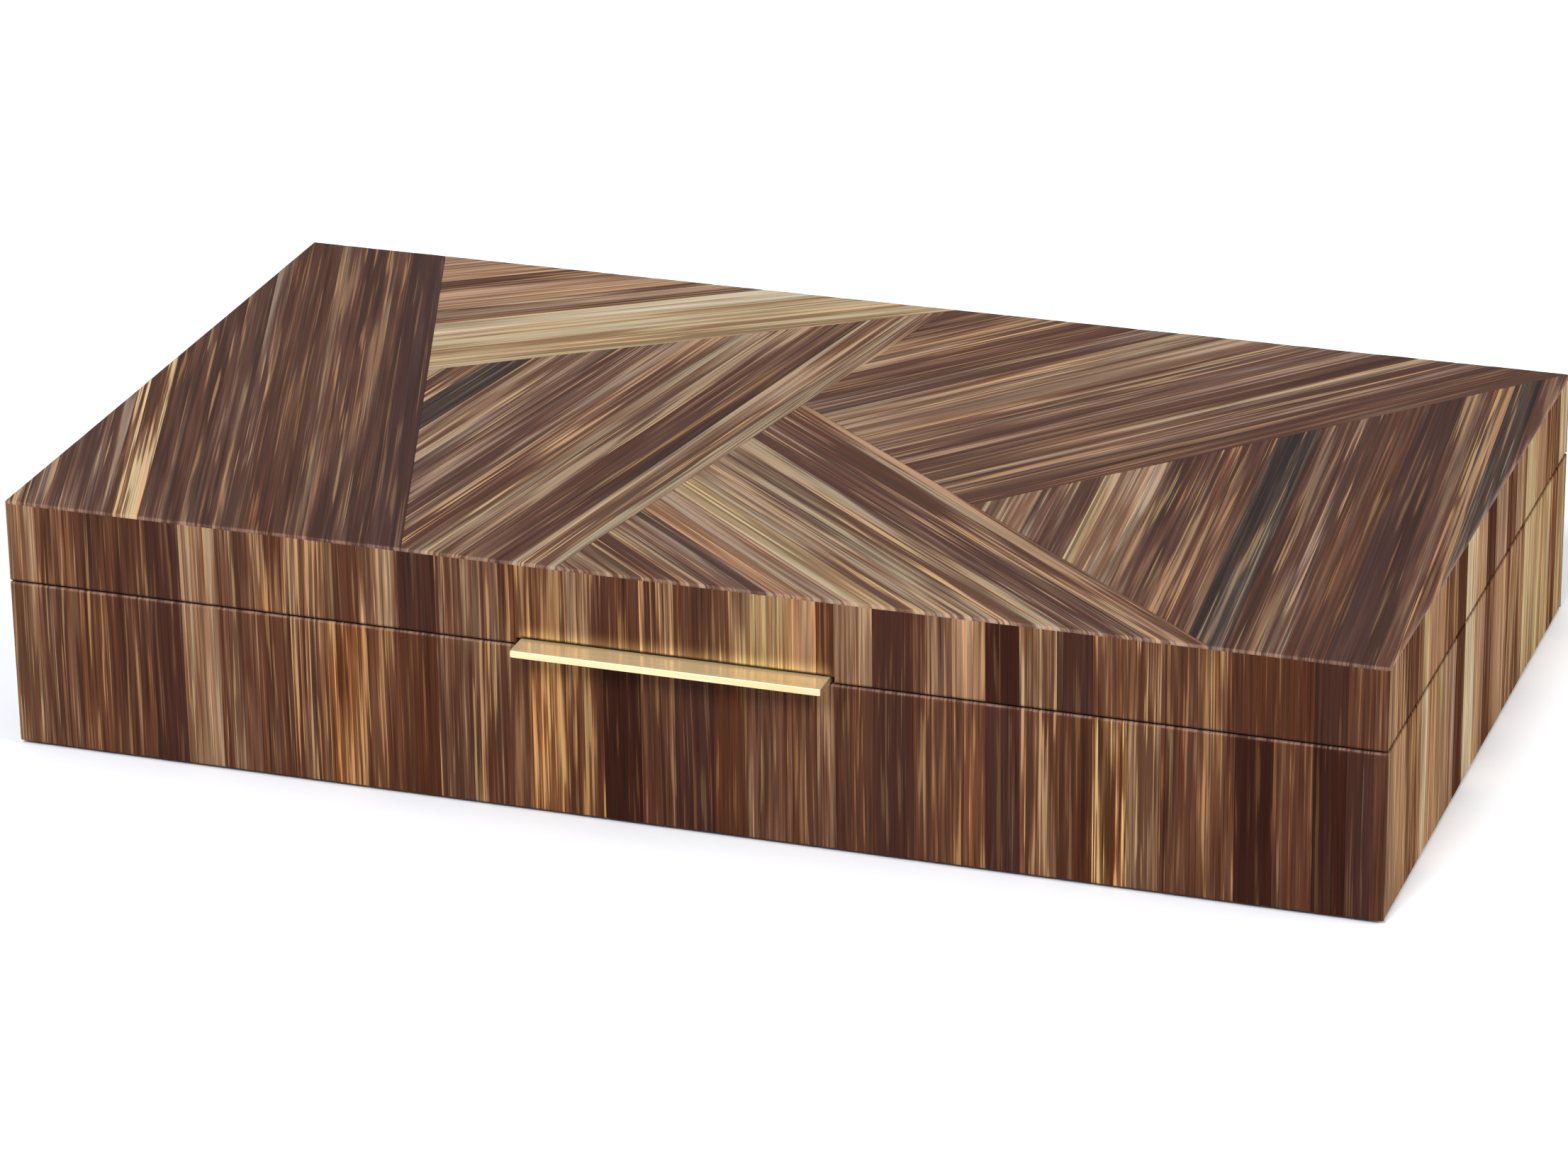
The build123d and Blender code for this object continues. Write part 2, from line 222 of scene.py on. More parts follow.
# ---------------------------------------------------------------- straw
SEED_STEP = 0.125          # strip seeds are multiples of it, so that a whole number can key each
SWAY = 1.6 * MM            # how far fibres wander sideways
# Colour of the painted shade at the seam rims and in the joint above the pull plate.
PAINTED_SHADE = "#2a140c"
# The pull plate's painted reflection on the strips above it, and the painted shade in the joint
# between them: heights over the plate's top where each starts to fade and ends.
PULL_GLOW = (-0.58 * MM, 6.32 * MM)
PULL_JOINT_SHADE = (0.42 * MM, 1.22 * MM)
PULL_FADE = 1.5 * MM       # half the width over which both fade at the plate's ends


def over_pull(g):
    """Painted warm reflection of the brass pull on the strips above it, and painted shade in the
    joint between them.
    """
    low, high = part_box("pull_plate")
    x, y, z = g.split(g.position())
    span = g.ramp(g.math("ABSOLUTE", x), high.x - PULL_FADE, high.x + PULL_FADE, 1.0, 0.0)
    above = g.math("GREATER_THAN", z, low.z)
    in_front = g.math("LESS_THAN", y, high.y)
    place = g.math("MULTIPLY", g.math("MULTIPLY", span, in_front), above)
    start, end = (high.z + height for height in PULL_GLOW)
    fade = g.math("POWER", g.ramp(z, start, end, 1.0, 0.0), 1.8)
    start, end = (high.z + height for height in PULL_JOINT_SHADE)
    joint_shade = g.ramp(z, start, end, 0.95, 0.0)
    return g.math("MULTIPLY", fade, place), g.math("MULTIPLY", joint_shade, place)


def straw_noise(g):
    """The layers of noise in a strip, by name. Each is about -2 to 2; widths and lengths in mm."""
    across, along, seed = g.split(g.attribute("grain"))
    key = g.math("ROUND", g.math("DIVIDE", seed, SEED_STEP))
    sway = g.noise(g.vector(g.math("MULTIPLY", along, 11), seed, 0.0), detail=1)
    across = g.math("MULTIPLY_ADD", sway, SWAY, across)

    def drawn_out(x, length, layer, detail):
        """Noise at x that changes slowly along the strip."""
        place = g.vector(x, g.math("DIVIDE", along, length * MM), g.math("ADD", seed, layer))
        return g.math("MULTIPLY", g.math("SUBTRACT", g.noise(place, detail=detail), 0.5), 9.0)

    def soft(width, length, layer, detail=2):
        """Blurred streaks."""
        return drawn_out(g.math("DIVIDE", across, width * MM), length, layer, detail)

    def crisp(width, length, layer):
        """Separate fibres, each with a tone of its own."""
        number = g.math("FLOOR", g.math("DIVIDE", across, width * MM))
        fibre = g.add("ShaderNodeTexWhiteNoise", {"Vector": g.vector(number, key, layer)},
                      noise_dimensions="3D").outputs["Value"]
        return drawn_out(g.math("MULTIPLY", fibre, 90.0), length, layer, 1)

    return {
        "fine": crisp(0.36, 38, 3.1),
        "threads": crisp(0.83, 60, 17.7),
        "haze": soft(1.3, 70, 23.9),
        "patches": soft(3.2, 34, 31.3),
        "bands": soft(7.0, 120, 47.9, 1),
        "flares": soft(1.6, 34, 59.5, 1),
        "tints": soft(1.7, 60, 71.1, 1),
        "hues": crisp(0.7, 80, 83.3),
    }


def fibre_color(g, layers, streaky, softness):
    """Colour of clean straw: dark, body and light fibres, bright flares that are partly light
    fibres and partly painted glints of the straw's sheen, and drifts of hue.
    """
    fine, threads = layers["fine"], layers["threads"]
    fibres = g.mix((0.50, fine), (0.50, threads))
    clouds = g.mix((0.22, layers["haze"]), (0.24, layers["patches"]), (0.30, layers["bands"]))
    value = g.math("ADD", g.math("MULTIPLY", fibres, g.math("MULTIPLY_ADD", softness, -0.6, 1.0)),
                   g.math("MULTIPLY", clouds, g.math("MULTIPLY_ADD", softness, 0.6, 1.0)))
    value = g.math("MULTIPLY_ADD", value, g.math("MULTIPLY", streaky, 0.52), 0.46)
    dark = g.attribute("tone_dark", "Color")
    body = g.attribute("tone_body", "Color")
    light = g.attribute("tone_light", "Color")
    color = g.blend(g.ramp(value, 0.0, 0.5), dark, body)
    color = g.blend(g.ramp(value, 0.5, 1.0), color, light)
    # Bright gold flares: partly light fibres, partly painted glints of the straw's sheen.
    flare = g.mix((0.6, fine), (0.7, threads), (0.9, layers["flares"]))
    flare = g.ramp(g.math("MULTIPLY_ADD", softness, -0.12, flare), 1.0, 2.2)
    flare = g.math("MULTIPLY", flare, g.math("MULTIPLY", streaky, 0.85))
    color = g.blend(flare, color, g.blend(0.35, light, linear("#dcb06a")))
    warmth = g.ramp(g.mix((0.7, layers["tints"]), (0.7, layers["hues"])), -1.3, 1.3)
    hue = g.blend(warmth, (0.92, 1.01, 1.06, 1), (1.08, 0.98, 0.93, 1))
    color = g.blend(1.0, color, hue, "MULTIPLY")
    level = g.math("ADD", g.mix((0.10, fine), (0.07, threads)), 1.0)
    return g.blend(1.0, color, g.grey(g.math("MULTIPLY", level, BRIGHTNESS)), "MULTIPLY")


def wear_light_shade_color(g, color, layers, wear_light_shade):
    """Frayed fibres with a painted highlight where the rim value is above 0, painted shade where it
    is below.
    """
    # Frayed fibres and a painted highlight where the rim value is above 0.
    parts = ((0.5, layers["fine"]), (0.6, layers["threads"]), (0.6, layers["patches"]))
    fray_and_highlight = g.ramp(g.mix(*parts), -1.2, 1.2, 0.1, 0.55)
    frayed_and_highlight = g.math("MULTIPLY", g.math("MAXIMUM", wear_light_shade, 0.0), fray_and_highlight)
    color = g.blend(frayed_and_highlight, color, linear("#a58474"))
    # Painted shade where the rim value is below 0.
    shaded = g.math("MULTIPLY", g.math("MINIMUM", wear_light_shade, 0.0), -0.75)
    return g.blend(shaded, color, linear(PAINTED_SHADE))


def straw_material():
    """Lacquered straw: crisp fibres, bundles and fading streaks along each strip."""
    g = Graph("straw_marquetry")
    layers = straw_noise(g)
    streaky, wear_light_shade, gloss = g.split(g.attribute("strip"))
    color = fibre_color(g, layers, streaky, g.attribute("softness", "Fac"))
    # Fraying with a painted highlight, or painted shade, at the rims.
    color = wear_light_shade_color(g, color, layers, wear_light_shade)
    # Painted reflection of the brass pull on the strips above it, then painted shade in the joint.
    glow, joint_shade = over_pull(g)
    color = g.blend(glow, color, g.blend(1.0, color, (1.7, 2.0, 1.9, 1), "MULTIPLY"))
    color = g.blend(g.math("MULTIPLY", glow, 0.17), color, linear("#d4b06c"), "ADD")
    color = g.blend(joint_shade, color, linear(PAINTED_SHADE))
    height = g.mix((1.0, layers["fine"]), (0.7, layers["threads"]))
    return g.finish(
        color=color,
        roughness=g.math("MULTIPLY_ADD", layers["fine"], 0.04, 0.46),
        specular=gloss,
        normal=g.bump(height, 0.012 * MM, 0.6),
    )


# ---------------------------------------------------------------- boards, brass and cloth
def board_material():
    """Dark stained hardwood with long pores, for the boards behind the marquetry."""
    g = Graph("stained_boards")
    x, y, z = g.split(g.position())
    rings = g.noise(g.vector(g.math("MULTIPLY", x, 9), g.math("MULTIPLY", y, 60),
                             g.math("MULTIPLY", z, 160)), detail=4)
    pores = g.noise(g.vector(g.math("MULTIPLY", x, 60), g.math("MULTIPLY", y, 1400),
                             g.math("MULTIPLY", z, 1400)), detail=2)
    color = g.blend(g.ramp(rings, 0.3, 0.7), linear("#3a241a"), linear("#5f402c"))
    color = g.blend(g.ramp(pores, 0.58, 0.7, 0.0, 0.7), color, linear("#1f120c"))
    return g.finish(
        color=color,
        roughness=g.ramp(pores, 0.3, 0.7, 0.5, 0.75),
        normal=g.bump(pores, 0.08 * MM, 0.4),
    )


def brass_material(name, color, roughness, brushed, stretch=0.0, metallic=1.0, satin_top=0.0):
    """Brass brushed along X, with small smudges and a darker, browner colour on faces that point
    down.

    brushed is how much the brushing varies the roughness, stretch how far it draws out the
    highlights, and satin_top how much less metallic and smoother the upper face is.
    """
    g = Graph(name)
    x, y, z = g.split(g.position())
    brush = g.noise(g.vector(g.math("MULTIPLY", x, 25), g.math("MULTIPLY", y, 4200),
                             g.math("MULTIPLY", z, 4200)), detail=3)
    smudge = g.noise(g.position(), scale=45, detail=3)
    tint = g.blend(g.ramp(smudge, 0.35, 0.7, 0.0, 0.3), linear(color), linear("#d9b36e"))
    facing = g.split(g.add("ShaderNodeTexCoord").outputs["Normal"])[2]
    # Darker, browner colour on faces that point down.
    tint = g.blend(g.ramp(facing, -0.6, -0.9, 0.0, 1.0), tint, linear("#b0935f"))
    shade = g.ramp(brush, 0.3, 0.7, 0.9, 1.08)
    tint = g.blend(1.0, tint, g.grey(shade), "MULTIPLY")
    top = g.ramp(facing, 0.6, 0.9)
    level = g.math("MULTIPLY_ADD", g.math("SUBTRACT", brush, 0.5), brushed, roughness)
    level = g.math("ADD", level, g.ramp(smudge, 0.45, 0.75, 0.0, 0.08))
    level = g.math("MULTIPLY_ADD", top, -satin_top * 0.5, level)
    return g.finish(
        color=tint,
        metallic=g.math("MULTIPLY_ADD", top, -satin_top, metallic),
        roughness=level,
        anisotropic=stretch,
        tangent=g.vector(0, 1, 0),
        normal=g.bump(brush, 0.01 * MM, 0.25),
    )


def cloth_material(name, color, shadow, pile):
    """Short-napped cloth: a fine irregular pile with brushed patches; pile is in millimetres."""
    g = Graph(name)
    place = g.position()
    nap = g.noise(place, scale=1 / (pile * MM), detail=3, roughness=0.7)
    patches = g.noise(place, scale=34, detail=3)
    raised = g.ramp(nap, 0.3, 0.7, 0.1, 0.65)
    color_mix = g.math("ADD", raised, g.ramp(patches, 0.3, 0.75, 0, 0.2))
    return g.finish(
        color=g.blend(color_mix, linear(shadow), linear(color)),
        roughness=0.95,
        specular=0.15,
        sheen=0.5,
        sheen_roughness=0.45,
        sheen_tint=linear(color),
        normal=g.bump(nap, 0.25 * MM, 0.7),
    )


straw = straw_material()
boards = board_material()
pull_brass = brass_material(
    "polished_brass", "#f6e0b0", 0.33, 0.12, stretch=0.6, metallic=0.84, satin_top=0.26
)
hinge_brass = brass_material("satin_brass", "#b3a078", 0.44, 0.2)
lining_cloth = cloth_material("lining_suede", "#8f7660", "#5c4737", 0.35)
felt_cloth = cloth_material("base_felt", "#3a2c25", "#1d1512", 0.55)


def paint(piece, material):
    """Give a piece one material."""
    piece.data.materials.clear()
    piece.data.materials.append(material)


def add_piece(name, mesh, sharp_angle, material, node_name):
    """Put a mesh in the scene in place of a CAD node, on the same body. The angle is in degrees."""
    for polygon in mesh.polygons:
        polygon.use_smooth = True
    mesh.set_sharp_from_angle(angle=math.radians(sharp_angle))
    piece = bpy.data.objects.new(name, mesh)
    bpy.context.scene.collection.objects.link(piece)
    paint(piece, material)
    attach(piece, "lid" if node_name.startswith("lid") else "base")
    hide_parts(node_name)


for name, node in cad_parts.items():
    if name.endswith("_panel"):
        paint(node, boards)
    elif name == "pull_plate":
        paint(node, pull_brass)
    elif "hinge" in name or name == "pull_screws":
        paint(node, hinge_brass)


# ---------------------------------------------------------------- marquetry strips
SKIN = 1.0 * MM            # thickness of a strip
SHOULDER = 0.35 * MM       # width of the eased edge along a strip
SHOULDER_DROP = 0.03 * MM
CROWN = 0.04 * MM          # how far the middle of a strip stands proud
UNEVEN = 0.05 * MM         # how far strips differ from each other
RIPPLE = 0.05 * MM         # slow waves over a strip
RIPPLE_ACROSS = 120        # waves per metre, about
RIPPLE_ALONG = 30
CUT_SPACING = 9 * MM
# The rounded rim at a strip's open end: distance from the end, and how far it falls away.
END_STEPS = ((0.0, 0.46 * MM), (0.1 * MM, 0.25 * MM), (0.25 * MM, 0.1 * MM), (0.5 * MM, 0.02 * MM))
FRAY_HIGHLIGHT_DROP = 0.1 * MM       # a rim that has fallen away this far is fully frayed and has the full painted highlight
PAINTED_SHADE_REACH = 0.9 * MM      # how far the painted shade spreads from the seam
TOP_FRAY_HIGHLIGHT = 0.6             # fraying and painted highlight along the lid's outline
TOP_FRAY_HIGHLIGHT_DEPTH = 0.25 * MM
NEAR_SEAM = 1 * MM         # an end this close to the seam height is a rim of base or lid
HALF_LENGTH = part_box("base_right_marquetry")[1].x
HALF_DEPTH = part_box("base_back_marquetry")[1].y
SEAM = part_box("base_front_marquetry")[1].z

# How the strips of one side look. gloss is their specular level and streaks the strength of
# their streaks. tint multiplies the body and dark fibres, light_tint the light ones; both paint
# in how light falls on the side. rims marks the base's rim and the lid's at the seam: above 0
# frayed with a painted highlight, below 0 painted shade. stretch draws the streaks out, and
# softness goes from crisp fibres at 0 to clouds at 1.
Look = namedtuple("Look", "gloss streaks tint light_tint rims stretch softness")
# The tints paint in how light falls on each side: they lighten the walls' strips, and make the
# short walls and the lid's top bluer, the top as from its sheen.
LONG_WALL_LIGHT = (1.10, 1.04, 1.03)
SHORT_WALL_LIGHT = (1.17, 1.19, 1.26)
LONG_WALLS = Look(0.02, 1.0, LONG_WALL_LIGHT, LONG_WALL_LIGHT, (1.0, -1.1), 1.0, 0.6)
SHORT_WALLS = Look(0.0, 1.0, SHORT_WALL_LIGHT, SHORT_WALL_LIGHT, (-0.9, -1.1), 1.0, 0.6)
LID_TOP = Look(0.08, 1.0, (1.10, 1.17, 1.36), (1.0, 1.08, 1.37), (0.0, 0.0), 1.6, 1.0)
# The lid's top has stronger streaks than the walls, unevenly so.
FIELD_STREAKS = {
    "left": 1.55, "pale": 1.6, "centre": 1.45, "back": 1.2, "front": 1.5, "right": 1.7,
}


def grain_direction(mesh_edges):
    """Direction of the strips in plan, in radians: the one that most edge length follows."""
    lengths = {}
    for edge in mesh_edges:
        run = edge.verts[1].co - edge.verts[0].co
        if abs(run.z) < 1e-6 and run.length > 2 * MM:
            key = round(math.degrees(math.atan2(run.y, run.x)) % 180, 1)
            lengths[key] = lengths.get(key, 0) + run.length
    return math.radians(max(lengths, key=lengths.get))


def strips_of(bm):
    """The connected pieces of a mesh, each as a small mesh of its own."""
    unseen = set(bm.verts)
    pieces = []
    for start in list(bm.verts):
        if start not in unseen:
            continue
        unseen.discard(start)
        group, queue = [], [start]
        while queue:
            vertex = queue.pop()
            group.append(vertex)
            for edge in vertex.link_edges:
                other = edge.other_vert(vertex)
                if other in unseen:
                    unseen.discard(other)
                    queue.append(other)
        piece = bmesh.new()
        copies = {vertex: piece.verts.new(vertex.co) for vertex in group}
        for face in dict.fromkeys(face for vertex in group for face in vertex.link_faces):
            piece.faces.new([copies[vertex] for vertex in face.verts])
        pieces.append(piece)
    return pieces


def cut(piece, point, normal):
    """Split the faces of a mesh along a plane."""
    geometry = list(piece.verts) + list(piece.edges) + list(piece.faces)
    bmesh.ops.bisect_plane(piece, geom=geometry, plane_co=point, plane_no=normal, dist=1e-7)


def on_rim(point):
    """Whether a point of the lid's top lies on the box's outline."""
    return abs(point.x) > HALF_LENGTH - SKIN or abs(point.y) > HALF_DEPTH - SKIN


def extent(piece, direction):
    """The least and greatest reach of a mesh along a direction."""
    reaches = [vertex.co.dot(direction) for vertex in piece.verts]
    return min(reaches), max(reaches)


def cad_surface(node_name):
    """The mesh of a CAD node, its flat areas merged into single faces."""
    bm = bmesh.new()
    bm.from_mesh(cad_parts[node_name].data)
    bmesh.ops.remove_doubles(bm, verts=bm.verts, dist=1e-6)
    bmesh.ops.dissolve_limit(bm, angle_limit=math.radians(1), verts=bm.verts, edges=bm.edges)
    return bm


def divide(strip, grain, across, ends):
    """Cut a strip's faces wherever its surface is to bend."""
    low, high = extent(strip, across)
    start, stop = extent(strip, grain)
    width = high - low
    for side in (SHOULDER, width * 0.2, width * 0.5, width * 0.8, width - SHOULDER):
        cut(strip, across * (low + side), across)
    stations = max(1, round((stop - start) / CUT_SPACING))
    for i in range(1, stations):
        cut(strip, grain * (start + (stop - start) * i / stations), grain)
    depths = [depth for depth, _ in END_STEPS[1:]] + [PAINTED_SHADE_REACH]
    for end, inward in ends:
        for depth in depths:
            cut(strip, grain * (end + inward * depth), grain)


def rise(u, v, low, high, number):
    """How far a strip's face stands proud at u across and v along it."""
    share = (u - low) / (high - low)
    proud = CROWN * 4 * share * (1 - share) - CROWN
    if min(u - low, high - u) < SHOULDER * 0.9:
        proud -= SHOULDER_DROP
    ripple = noise.noise(Vector((number, u * RIPPLE_ACROSS, v * RIPPLE_ALONG)))
    return proud + RIPPLE * ripple


def rim_shape(v, ends, look):
    """How far a point at v along a strip falls away at the open ends, and its rim value: frayed
    with a painted highlight above 0, painted shade below 0.
    """
    fall, wear_light_shade = 0.0, 0.0
    for end, inward in ends:
        depth = abs(v - end)
        drop = next((drop for reach, drop in END_STEPS if depth <= reach + 1e-6), 0)
        fall += drop
        # At the seam: fraying with a painted highlight above 0, painted shade below 0.
        if abs(end - SEAM) < NEAR_SEAM:
            amount = look.rims[inward > 0]
            near = drop / FRAY_HIGHLIGHT_DROP if amount > 0 else 1 - depth / PAINTED_SHADE_REACH
            wear_light_shade = amount * min(1, max(0, near))
    return fall, wear_light_shade


def tone_colors(tone, look):
    """Colours of a tone's body, dark and light fibres, by attribute name, tinted with the painted
    light of the side.
    """
    body, dark, light, _ = TONES[tone]
    parts = {
        "tone_body": (body, look.tint),
        "tone_dark": (dark, look.tint),
        "tone_light": (light, look.light_tint),
    }
    return {
        key: [c * t for c, t in zip(linear(code), (*tint, 1))]
        for key, (code, tint) in parts.items()
    }


def strips_mesh(name, points, faces, values, softness):
    """A mesh that carries each point's values as attributes."""
    mesh = bpy.data.meshes.new(name)
    mesh.from_pydata(points, [], faces)
    for key, rows in values.items():
        is_color = key.startswith("tone")
        kind, field = ("FLOAT_COLOR", "color") if is_color else ("FLOAT_VECTOR", "vector")
        layer = mesh.attributes.new(key, kind, "POINT")
        layer.data.foreach_set(field, [number for row in rows for number in row])
    layer = mesh.attributes.new("softness", "FLOAT", "POINT")
    layer.data.foreach_set("value", [softness] * len(points))
    return mesh


def marquetry(node_name, outward, grain, across, tones, seed, look, ends=()):
    """A piece for one CAD marquetry node, with each strip shaped and given tone and grain.

    ends lists the places along the grain where strips end in the open and are eased, each with
    the sign of the direction that leads from there into the strip. A grain of None is found
    from strips that lie flat.
    """
    bm = cad_surface(node_name)
    outward = Vector(outward)
    if grain is None:
        turn = grain_direction(bm.edges)
        grain = (math.cos(turn), math.sin(turn), 0)
        across = (-math.sin(turn), math.cos(turn), 0)
    grain, across = Vector(grain), Vector(across)
    outer = extent(bm, outward)[1]
    strips = sorted(strips_of(bm), key=lambda strip: extent(strip, across)[0])
    bm.free()
    if len(strips) != len(tones):
        raise ValueError(f"{node_name} has {len(strips)} strips and {len(tones)} tones")

    points, faces = [], []
    values = {name: [] for name in ("grain", "strip", "tone_body", "tone_dark", "tone_light")}
    draw = random.Random(seed)
    for strip, tone in zip(strips, tones):
        low, high = extent(strip, across)
        divide(strip, grain, across, ends)
        colors = tone_colors(tone, look)
        streaky = TONES[tone][3] * look.streaks
        lift = draw.uniform(-UNEVEN, 0)
        number = round(draw.uniform(0, 100) / SEED_STEP) * SEED_STEP
        strip.verts.index_update()
        first = len(points)
        for vertex in strip.verts:
            u, v = vertex.co.dot(across), vertex.co.dot(grain)
            fall, wear_light_shade = rim_shape(v, ends, look)
            below = outer - vertex.co.dot(outward)
            # Along the lid's outline: fraying with a painted highlight.
            if not ends and on_rim(vertex.co):
                wear_light_shade = TOP_FRAY_HIGHLIGHT * min(1, below / TOP_FRAY_HIGHLIGHT_DEPTH)
            weight = 1 - min(1, max(0, below / SKIN))
            proud = lift + rise(u, v, low, high, number) - fall
            points.append(vertex.co + outward * (proud * weight))
            values["grain"].append((u, v / look.stretch, number))
            values["strip"].append((streaky, wear_light_shade, look.gloss))
            for key, color in colors.items():
                values[key].append(color)
        faces += [[first + vertex.index for vertex in face.verts] for face in strip.faces]
        strip.free()

    name = f"{node_name}_strips"
    mesh = strips_mesh(name, points, faces, values, look.softness)
    add_piece(name, mesh, 50, straw, node_name)


# Each wall's outward direction, the direction across its strips, and its look.
WALLS = {
    "front": ((0, -1, 0), (1, 0, 0), LONG_WALLS),
    "back": ((0, 1, 0), (1, 0, 0), LONG_WALLS),
    "left": ((-1, 0, 0), (0, 1, 0), SHORT_WALLS),
    "right": ((1, 0, 0), (0, 1, 0), SHORT_WALLS),
}
for number, side in enumerate(SIDES):
    outward, across, look = WALLS[side]
    for part in ("base", "lid"):
        low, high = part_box(f"{part}_{side}_marquetry")
        ends = ((high.z, -1), (low.z, 1)) if part == "base" else ((low.z, 1),)
        marquetry(
            f"{part}_{side}_marquetry", outward, (0, 0, 1), across,
            WALL_TONES[f"{part}_{side}"], 40 + number, look, ends,
        )
for number, field in enumerate(FIELDS):
    marquetry(
        f"lid_top_{field}_marquetry", (0, 0, 1), None, None,
        FIELD_TONES[field].split(), 60 + number, LID_TOP._replace(streaks=FIELD_STREAKS[field]),
    )


# ---------------------------------------------------------------- linings and felt
RIM_HEIGHT = 0.35          # of a form's thickness, where its face meets its rim
PAD_RIPPLE = 0.25          # unevenness of the face, as a share of its crown
PAD_RIPPLE_SCALE = 25      # waves per metre, about
INWARD = {"front": "+y", "back": "-y", "left": "+x", "right": "-x"}


def close_back(bm, index, back):
    """Draw the rim of a sheet down to a flat back at that coordinate, and close it."""
    rim = [edge for edge in bm.edges if edge.is_boundary]
    skirt = bmesh.ops.extrude_edge_only(bm, edges=rim)
    for item in skirt["geom"]:
        if isinstance(item, bmesh.types.BMVert):
            item.co[index] = back
    bmesh.ops.holes_fill(bm, edges=[edge for edge in bm.edges if edge.is_boundary])
    bmesh.ops.recalc_face_normals(bm, faces=bm.faces)


def padded(node_name, name, material, crown, rounding, steps, soft_axis):
    """A padded form in the space of a CAD node: crowned along soft_axis, its rim rolled in."""
    low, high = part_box(node_name)
    size = high - low
    middle = (low + high) / 2
    index = "xyz".index(soft_axis[-1])
    toward = -1 if soft_axis[0] == "-" else 1
    back = middle[index] - toward * size[index] / 2
    first, second = [i for i in range(3) if i != index]

    def face_point(a, b):
        """The point of the soft face at a and b, which go from -1 to 1 across the form."""
        point = middle.copy()
        point[first] += a * size[first] / 2
        point[second] += b * size[second] / 2
        rim_a = (1 - abs(a)) * size[first] / 2
        rim_b = (1 - abs(b)) * size[second] / 2
        roll = min(1, rim_a / rounding) * min(1, rim_b / rounding)
        dome = math.sqrt(max(0, 1 - (1 - roll) ** 2))
        swell = crown * (1 - a ** 4) * (1 - b ** 4)
        place = Vector((point[first] * PAD_RIPPLE_SCALE, point[second] * PAD_RIPPLE_SCALE, 1))
        ripple = PAD_RIPPLE * crown * noise.noise(place)
        face = (size[index] - crown) * (RIM_HEIGHT + (1 - RIM_HEIGHT) * dome)
        point[index] = back + toward * min(face + swell + ripple * roll, size[index])
        return point

    count_a, count_b = steps
    bm = bmesh.new()
    rows = [
        [bm.verts.new(face_point(2 * i / count_a - 1, 2 * j / count_b - 1))
         for j in range(count_b + 1)]
        for i in range(count_a + 1)
    ]
    for row, following in zip(rows, rows[1:]):
        for j in range(count_b):
            bm.faces.new((row[j], following[j], following[j + 1], row[j + 1]))
    close_back(bm, index, back)
    mesh = bpy.data.meshes.new(name)
    bm.to_mesh(mesh)
    bm.free()
    add_piece(name, mesh, 55, material, node_name)


def lining(node_name, name, crown, rounding, steps, soft_axis):
    """A padded form covered in the lining cloth."""
    padded(node_name, name, lining_cloth, crown, rounding, steps, soft_axis)


lining("base_floor_pad", "floor_cushion", 1.2 * MM, 4 * MM, (94, 50), "+z")
lining("lid_ceiling_pad", "lid_cushion", 2.4 * MM, 9 * MM, (94, 50), "-z")
for side in SIDES:
    long_steps = 96 if side in ("front", "back") else 52
    for part in ("base", "lid"):
        lining(
            f"{part}_{side}_lining", f"{part}_{side}_padding",
            0.4 * MM, 1.0 * MM, (long_steps, 24), INWARD[side],
        )
padded("underside_felt", "felt_sheet", felt_cloth, 0.1 * MM, 0.6 * MM, (100, 60), "-z")


# ---------------------------------------------------------------- floor, light and camera
def floor_material():
    """Pale matt paper with hardly any mottling."""
    g = Graph("pale_floor")
    grain = g.noise(g.position(), scale=3, detail=2)
    return g.finish(
        color=g.blend(g.ramp(grain, 0.3, 0.7), linear("#f1f4fa"), linear("#f5f7fc")),
        roughness=0.9,
        specular=0.1,
    )


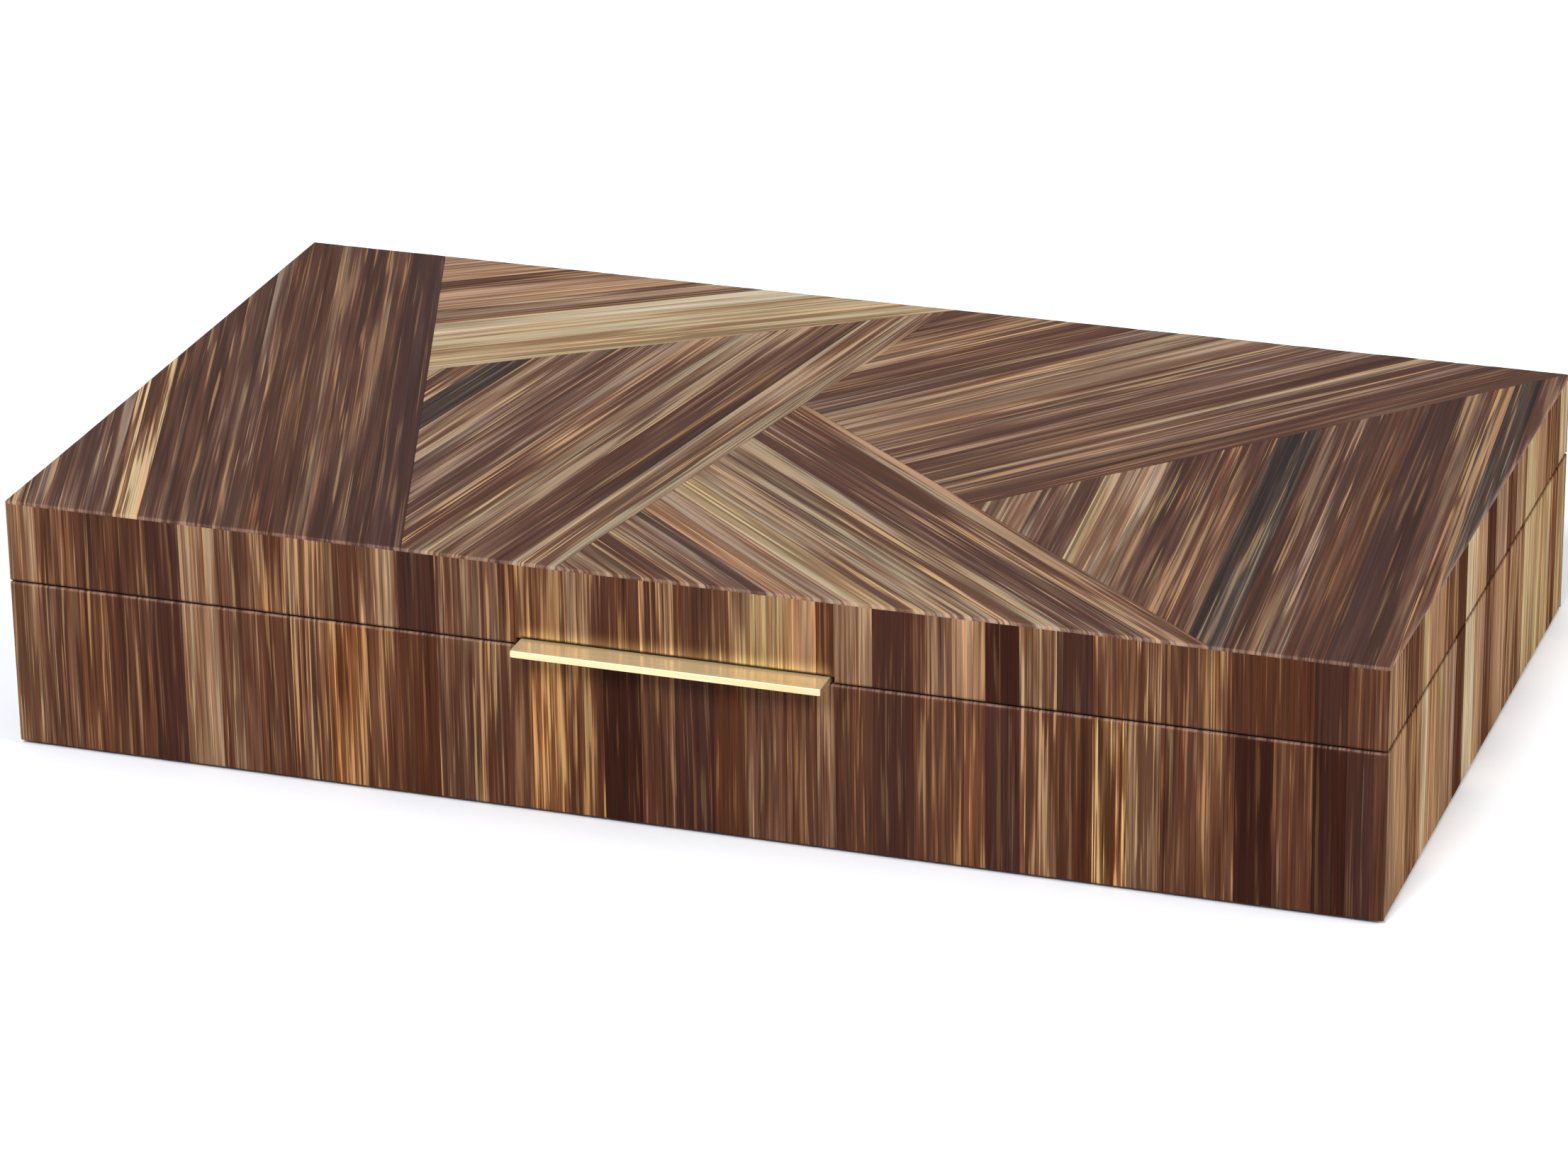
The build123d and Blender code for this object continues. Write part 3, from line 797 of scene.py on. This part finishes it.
def sun(name, azimuth, elevation, brightness, spread, color="#ffffff"):
    """A soft light from far off. Azimuth in degrees from -Y towards +X."""
    light = bpy.data.lights.new(name, "SUN")
    light.energy = brightness * math.pi
    light.angle = math.radians(spread)
    light.color = linear(color)[:3]
    lamp = bpy.data.objects.new(name, light)
    turn, rise = math.radians(azimuth), math.radians(elevation)
    place = Vector((
        math.sin(turn) * math.cos(rise), -math.cos(turn) * math.cos(rise), math.sin(rise)
    ))
    lamp.rotation_euler = place.to_track_quat("Z", "Y").to_euler()
    bpy.context.scene.collection.objects.link(lamp)


FLOOR_HALF = 6.0
FLOOR_LEVEL = -0.2 * MM    # just clear of the felt
floor_mesh = bpy.data.meshes.new("floor")
corners = [(x * FLOOR_HALF, y * FLOOR_HALF, FLOOR_LEVEL)
           for x, y in ((-1, -1), (1, -1), (1, 1), (-1, 1))]
floor_mesh.from_pydata(corners, [], [(0, 1, 2, 3)])
stage_floor = bpy.data.objects.new("floor", floor_mesh)
bpy.context.scene.collection.objects.link(stage_floor)
paint(stage_floor, floor_material())

world = bpy.data.worlds.new("studio")
world.use_nodes = True
world.node_tree.nodes["Background"].inputs["Color"].default_value = (0.96, 0.99, 1.04, 1)
world.node_tree.nodes["Background"].inputs["Strength"].default_value = 0.38
bpy.context.scene.world = world

sun("key", -8, 45, 0.90, 22)
sun("fill", 100, 35, 0.60, 40, "#fff8ee")
sun("overhead", 180, 80, 0.15, 60)

AZIMUTH = math.radians(19.05)
ELEVATION = math.radians(22.97)
ROLL = math.radians(-0.79)
DISTANCE = 1.789
TARGET = Vector((-0.0067, 0, 0.0265))
camera = bpy.data.objects.new("camera", bpy.data.cameras.new("camera"))
camera.data.sensor_width = 36
camera.data.lens = 141
backward = Vector((
    math.sin(AZIMUTH) * math.cos(ELEVATION),
    -math.cos(AZIMUTH) * math.cos(ELEVATION),
    math.sin(ELEVATION),
))
right = Vector((0, 0, 1)).cross(backward).normalized()
up = backward.cross(right)
turned_right = right * math.cos(ROLL) + up * math.sin(ROLL)
turned_up = up * math.cos(ROLL) - right * math.sin(ROLL)
camera.matrix_world = Matrix.Translation(TARGET + backward * DISTANCE) @ Matrix(
    (turned_right, turned_up, backward)
).transposed().to_4x4()
bpy.context.scene.collection.objects.link(camera)
bpy.context.scene.camera = camera
bpy.context.scene.view_settings.view_transform = "Standard"
